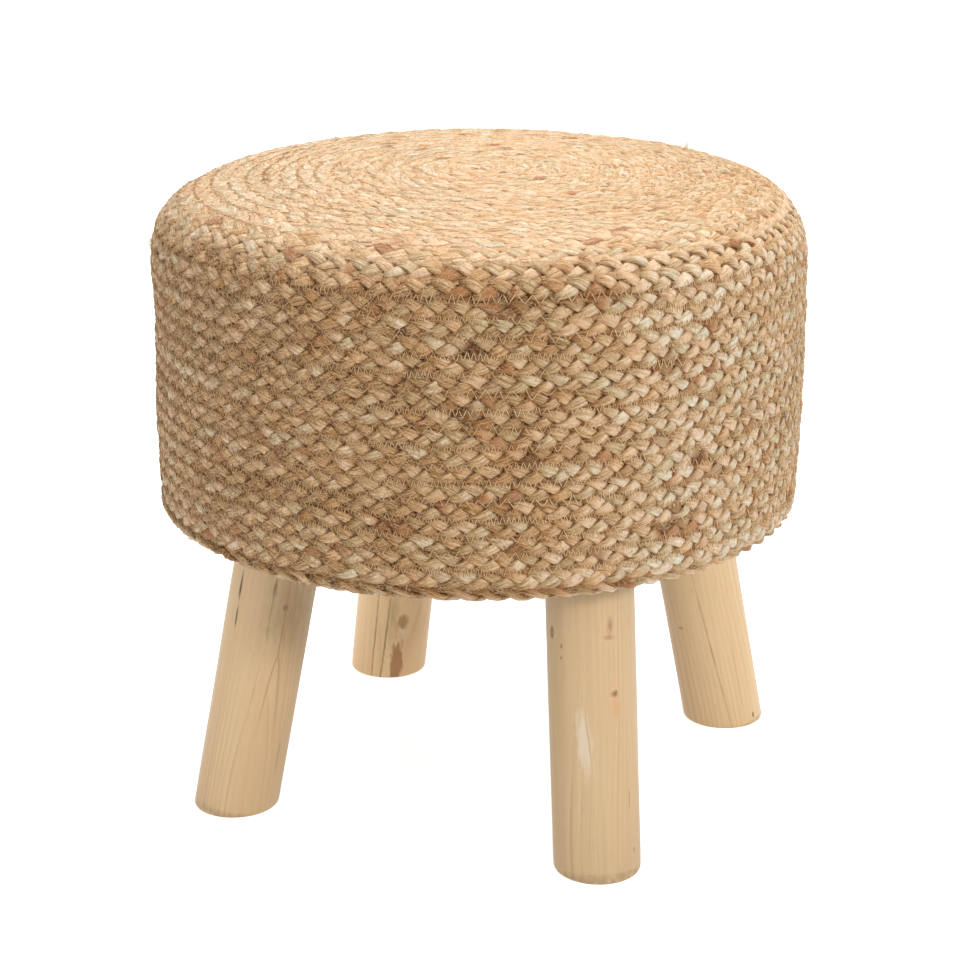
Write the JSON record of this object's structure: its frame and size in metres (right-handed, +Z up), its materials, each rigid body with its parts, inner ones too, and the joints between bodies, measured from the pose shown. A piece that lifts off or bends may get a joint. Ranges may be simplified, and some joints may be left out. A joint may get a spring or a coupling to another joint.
{
  "type": "round upholstered footstool",
  "caption": "Low round padded stool, drum seat covered in sewn jute braid, on splayed round pine legs cut level at the floor.",
  "frame": {"origin": "centre of the seat's outline, on the floor under the feet", "axes": "+Z up, +X to the right, -Y towards the front; the legs stand near the four diagonals"},
  "size_m": [0.402, 0.402, 0.387],
  "materials": {
    "jute_braid": "dry braided jute, fine fibre gloss",
    "foam": "open-cell foam",
    "padding": "soft felt",
    "plywood": "raw plywood",
    "wall_sheet": "raw pressed fibre sheet",
    "pine_frame": "raw sawn pine",
    "pine_legs": "sanded bare pine",
    "dust_cloth": "bonded non-woven cloth",
    "zinc_steel": "zinc plated",
    "staple_wire": "galvanised wire"
  },
  "bodies": {
    "root": {"jute_cover_top": "jute_braid", "jute_cover_side": "jute_braid", "seat_foam": "foam", "side_padding": "padding", "top_board": "plywood", "base_board": "plywood", "wall_sheet": "wall_sheet", "upright_1": "pine_frame", "upright_screw_base_1": "zinc_steel", "upright_screw_top_1": "zinc_steel", "upright_2": "pine_frame", "upright_screw_base_2": "zinc_steel", "upright_screw_top_2": "zinc_steel", "upright_3": "pine_frame", "upright_screw_base_3": "zinc_steel", "upright_screw_top_3": "zinc_steel", "upright_4": "pine_frame", "upright_screw_base_4": "zinc_steel", "upright_screw_top_4": "zinc_steel", "leg_front_right": "pine_legs", "leg_screw_front_right": "zinc_steel", "leg_washer_front_right": "zinc_steel", "leg_back_right": "pine_legs", "leg_screw_back_right": "zinc_steel", "leg_washer_back_right": "zinc_steel", "leg_back_left": "pine_legs", "leg_screw_back_left": "zinc_steel", "leg_washer_back_left": "zinc_steel", "leg_front_left": "pine_legs", "leg_screw_front_left": "zinc_steel", "leg_washer_front_left": "zinc_steel", "dust_cover": "dust_cloth", "staple_01": "staple_wire", "staple_02": "staple_wire", "staple_03": "staple_wire", "staple_04": "staple_wire", "staple_05": "staple_wire", "staple_06": "staple_wire", "staple_07": "staple_wire", "staple_08": "staple_wire", "staple_09": "staple_wire", "staple_10": "staple_wire", "staple_11": "staple_wire", "staple_12": "staple_wire"}
  },
  "joints": []
}
